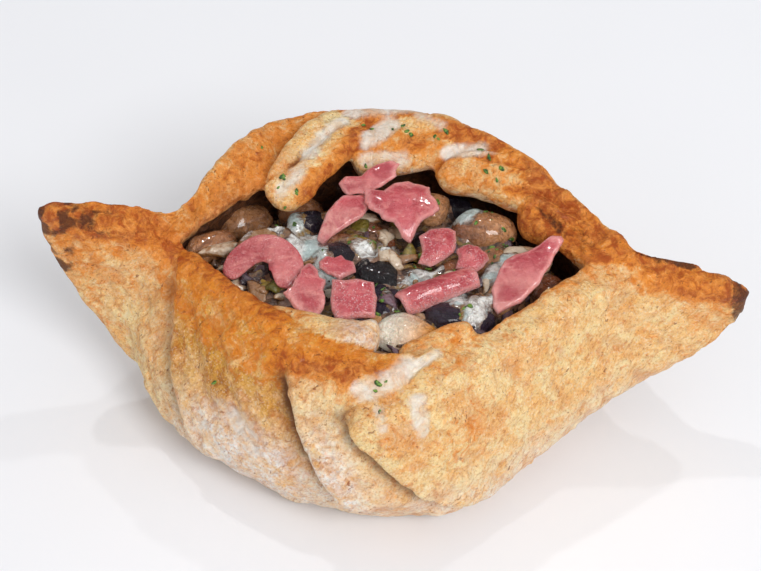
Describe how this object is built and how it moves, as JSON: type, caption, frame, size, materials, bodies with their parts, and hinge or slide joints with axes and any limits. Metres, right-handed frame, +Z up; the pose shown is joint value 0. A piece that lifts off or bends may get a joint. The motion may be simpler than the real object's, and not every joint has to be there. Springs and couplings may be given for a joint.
{
  "type": "open filled turnover pastry",
  "caption": "Boat-shaped wholewheat turnover with pinched tips, lapped panels, an open top, and a bean heap with pickled onion.",
  "frame": {"origin": "middle of the flat foot, on the surface it stands on", "axes": "+X from the left tip to the right tip, +Y towards the taller back wall, +Z up"},
  "size_m": [0.1695, 0.0952, 0.0629],
  "materials": {
    "crust": "baked wholewheat dough, matte, browned at the edges",
    "filling": "wet beans, mushroom and pale herb sauce, glossy",
    "onion": "pickled onion, pink, wet and a little translucent"
  },
  "bodies": {
    "root": {"crust": "crust", "filling": "filling", "onion_petal_large": "onion", "onion_strip_back": "onion", "onion_tip_back": "onion", "onion_square_middle": "onion", "onion_curl": "onion", "onion_strip_front": "onion", "onion_petal_right": "onion", "onion_curl_left": "onion", "onion_piece_left": "onion", "onion_piece_small": "onion", "onion_square_front": "onion"}
  },
  "joints": []
}
